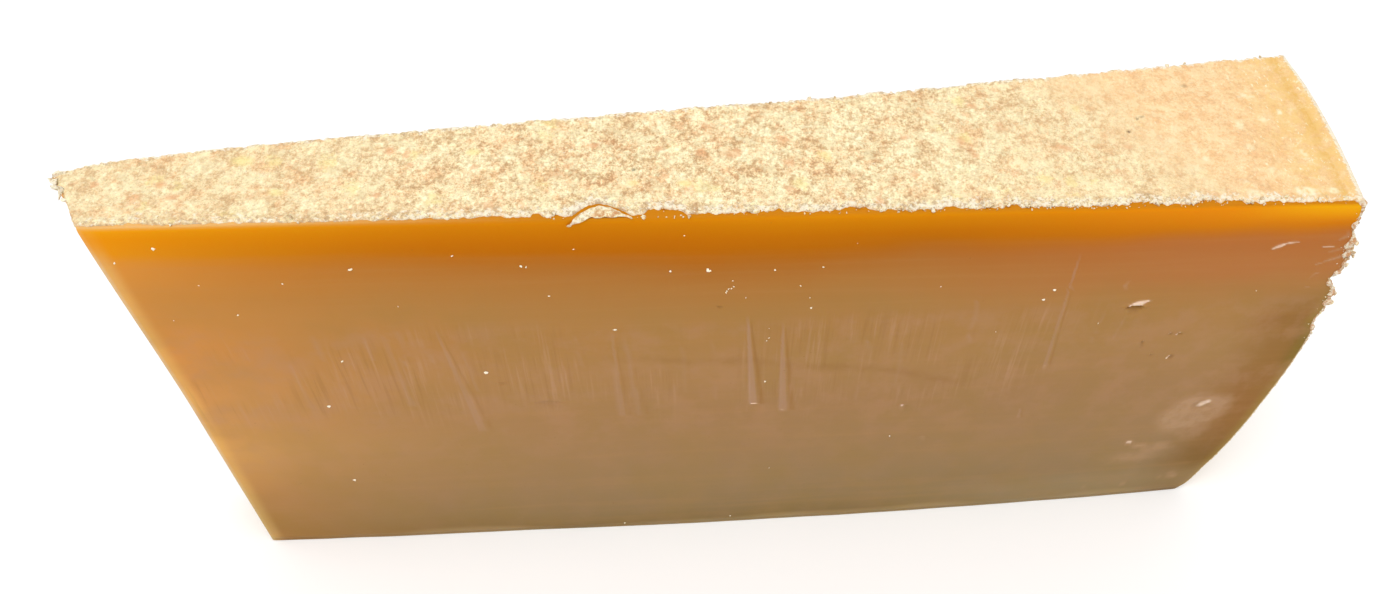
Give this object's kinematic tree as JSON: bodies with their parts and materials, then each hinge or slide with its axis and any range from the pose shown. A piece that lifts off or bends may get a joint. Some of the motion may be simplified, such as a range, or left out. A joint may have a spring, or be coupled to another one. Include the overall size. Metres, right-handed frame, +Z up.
{
  "type": "alpine cheese wedge",
  "caption": "Tall wedge of hard alpine cheese standing on its lower rind, with brown waxy cut faces and a rough cream-coloured upper rind.",
  "frame": {"origin": "middle of the bounding box's lowest face, on the lower rind that the wedge stands on", "axes": "+X along the front cut face from the tip's cut to the wheel's rim, +Y from the front cut face to the back cut face, +Z up"},
  "size_m": [0.221, 0.04, 0.0999],
  "materials": {
    "paste": "waxy, slightly translucent cheese paste, golden orange under the rind",
    "rind": "dry, granular cream and tan rind"
  },
  "bodies": {
    "root": {"cheese_wedge": "paste"}
  },
  "joints": []
}
